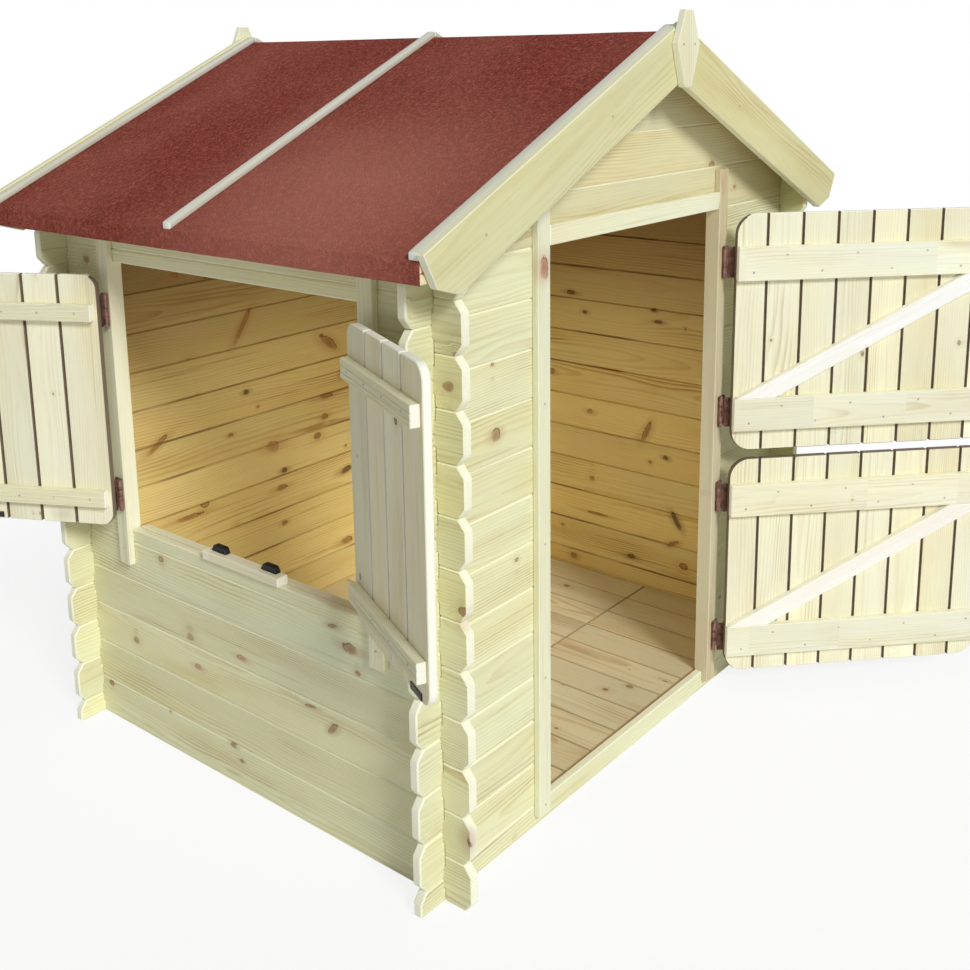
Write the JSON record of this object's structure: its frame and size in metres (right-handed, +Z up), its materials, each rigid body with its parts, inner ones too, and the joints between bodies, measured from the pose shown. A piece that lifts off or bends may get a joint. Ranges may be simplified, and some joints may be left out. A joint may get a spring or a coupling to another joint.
{
  "type": "garden playhouse",
  "caption": "Wooden garden playhouse with notched board walls, red felted gable roof, two-part ledged door and a wide side window with two shutters.",
  "frame": {"origin": "middle of the base on the ground, on the underside of the middle floor bearer", "axes": "+Z up, -Y out through the gable with the door, -X out through the side wall with the window"},
  "size_m": [1.5447, 1.6224, 1.495],
  "materials": {
    "wall_pine": "planed pine, unpainted",
    "trim_pine": "planed pine, unpainted",
    "leaf_pine": "pale planed pine, unpainted",
    "inner_pine": "planed pine, unpainted",
    "roof_felt": "red mineral granules on bitumen felt",
    "hinge_copper": "copper-coloured plating, satin",
    "catch_plastic": "black",
    "screw_steel": "zinc plated",
    "strike_steel": "dark plated"
  },
  "bodies": {
    "house": {"back_gable": "wall_pine", "back_wall": "wall_pine", "bargeboard_back_left": "trim_pine", "bargeboard_back_right": "trim_pine", "bargeboard_front_left": "trim_pine", "bargeboard_front_right": "trim_pine", "casing_screws": "screw_steel", "catch_block": "trim_pine", "door_casing_left": "trim_pine", "door_casing_right": "trim_pine", "door_catches": "catch_plastic", "door_head_casing": "trim_pine", "door_hinge_frames": "hinge_copper", "eave_battens": "inner_pine", "far_side_wall": "wall_pine", "felt_left": "roof_felt", "felt_right": "roof_felt", "finial_back": "trim_pine", "finial_front": "trim_pine", "floor_bearers": "inner_pine", "floor_boards": "inner_pine", "front_gable": "wall_pine", "front_wall": "wall_pine", "ridge_purlin": "inner_pine", "roof_battens_left": "trim_pine", "roof_battens_right": "trim_pine", "roof_boards_left": "inner_pine", "roof_boards_right": "inner_pine", "roof_edge_screws": "screw_steel", "shutter_catches": "catch_plastic", "shutter_hinge_frames": "hinge_copper", "window_casing_far": "trim_pine", "window_casing_near": "trim_pine", "window_sill_batten": "trim_pine", "window_wall": "wall_pine"},
    "lower_door": {"lower_door_boards": "leaf_pine", "lower_door_brace": "leaf_pine", "lower_door_hinges": "hinge_copper", "lower_door_ledges": "leaf_pine", "lower_door_screws": "screw_steel", "lower_door_strike": "strike_steel"},
    "upper_door": {"upper_door_boards": "leaf_pine", "upper_door_brace": "leaf_pine", "upper_door_hinges": "hinge_copper", "upper_door_ledges": "leaf_pine", "upper_door_screws": "screw_steel", "upper_door_strike": "strike_steel"},
    "left_shutter": {"left_shutter_boards": "leaf_pine", "left_shutter_hinges": "hinge_copper", "left_shutter_ledges": "leaf_pine", "left_shutter_screws": "screw_steel", "left_shutter_strike": "strike_steel"},
    "right_shutter": {"right_shutter_boards": "leaf_pine", "right_shutter_hinges": "hinge_copper", "right_shutter_ledges": "leaf_pine", "right_shutter_screws": "screw_steel", "right_shutter_strike": "strike_steel"}
  },
  "joints": [
    {"name": "upper_door_hinge", "type": "hinge", "parent": "house", "child": "upper_door", "pos_m": [0.296, -0.53, 0.8325], "axis": [0, 0, 1], "range_deg": [-136, 30]},
    {"name": "lower_door_hinge", "type": "hinge", "parent": "house", "child": "lower_door", "pos_m": [0.296, -0.53, 0.305], "axis": [0, 0, 1], "range_deg": [-136, 30]},
    {"name": "left_shutter_hinge", "type": "hinge", "parent": "house", "child": "left_shutter", "pos_m": [-0.63, 0.336, 0.749], "axis": [0, 0, 1], "range_deg": [-12, 152]},
    {"name": "right_shutter_hinge", "type": "hinge", "parent": "house", "child": "right_shutter", "pos_m": [-0.63, -0.364, 0.749], "axis": [0, 0, 1], "range_deg": [-154, 8]}
  ]
}
